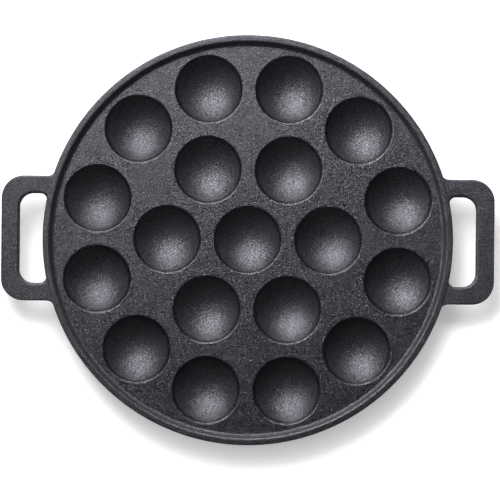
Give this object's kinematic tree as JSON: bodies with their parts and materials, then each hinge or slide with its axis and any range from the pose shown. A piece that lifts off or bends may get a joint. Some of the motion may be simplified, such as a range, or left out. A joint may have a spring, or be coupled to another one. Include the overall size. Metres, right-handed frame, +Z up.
{
  "type": "pancake pan",
  "caption": "Round cast-iron pan with a ring pattern of domed cups in a flat plate, a raised rim and two loop handles; bakes small round pancakes on a hob.",
  "frame": {"origin": "centre of the base, on the surface the pan stands on", "axes": "+X across the two handles, +Z up out of the cups"},
  "size_m": [0.3004, 0.25, 0.0213],
  "materials": {
    "cast_iron": "satin, fine sand-cast grain, seasoned"
  },
  "bodies": {
    "root": {"cup_01": "cast_iron", "cup_02": "cast_iron", "cup_03": "cast_iron", "cup_04": "cast_iron", "cup_05": "cast_iron", "cup_06": "cast_iron", "cup_07": "cast_iron", "cup_08": "cast_iron", "cup_09": "cast_iron", "cup_10": "cast_iron", "cup_11": "cast_iron", "cup_12": "cast_iron", "cup_13": "cast_iron", "cup_14": "cast_iron", "cup_15": "cast_iron", "cup_16": "cast_iron", "cup_17": "cast_iron", "cup_18": "cast_iron", "cup_19": "cast_iron", "rim": "cast_iron", "side_wall_left": "cast_iron", "side_wall_right": "cast_iron", "handle_left": "cast_iron", "handle_right": "cast_iron"}
  },
  "joints": []
}
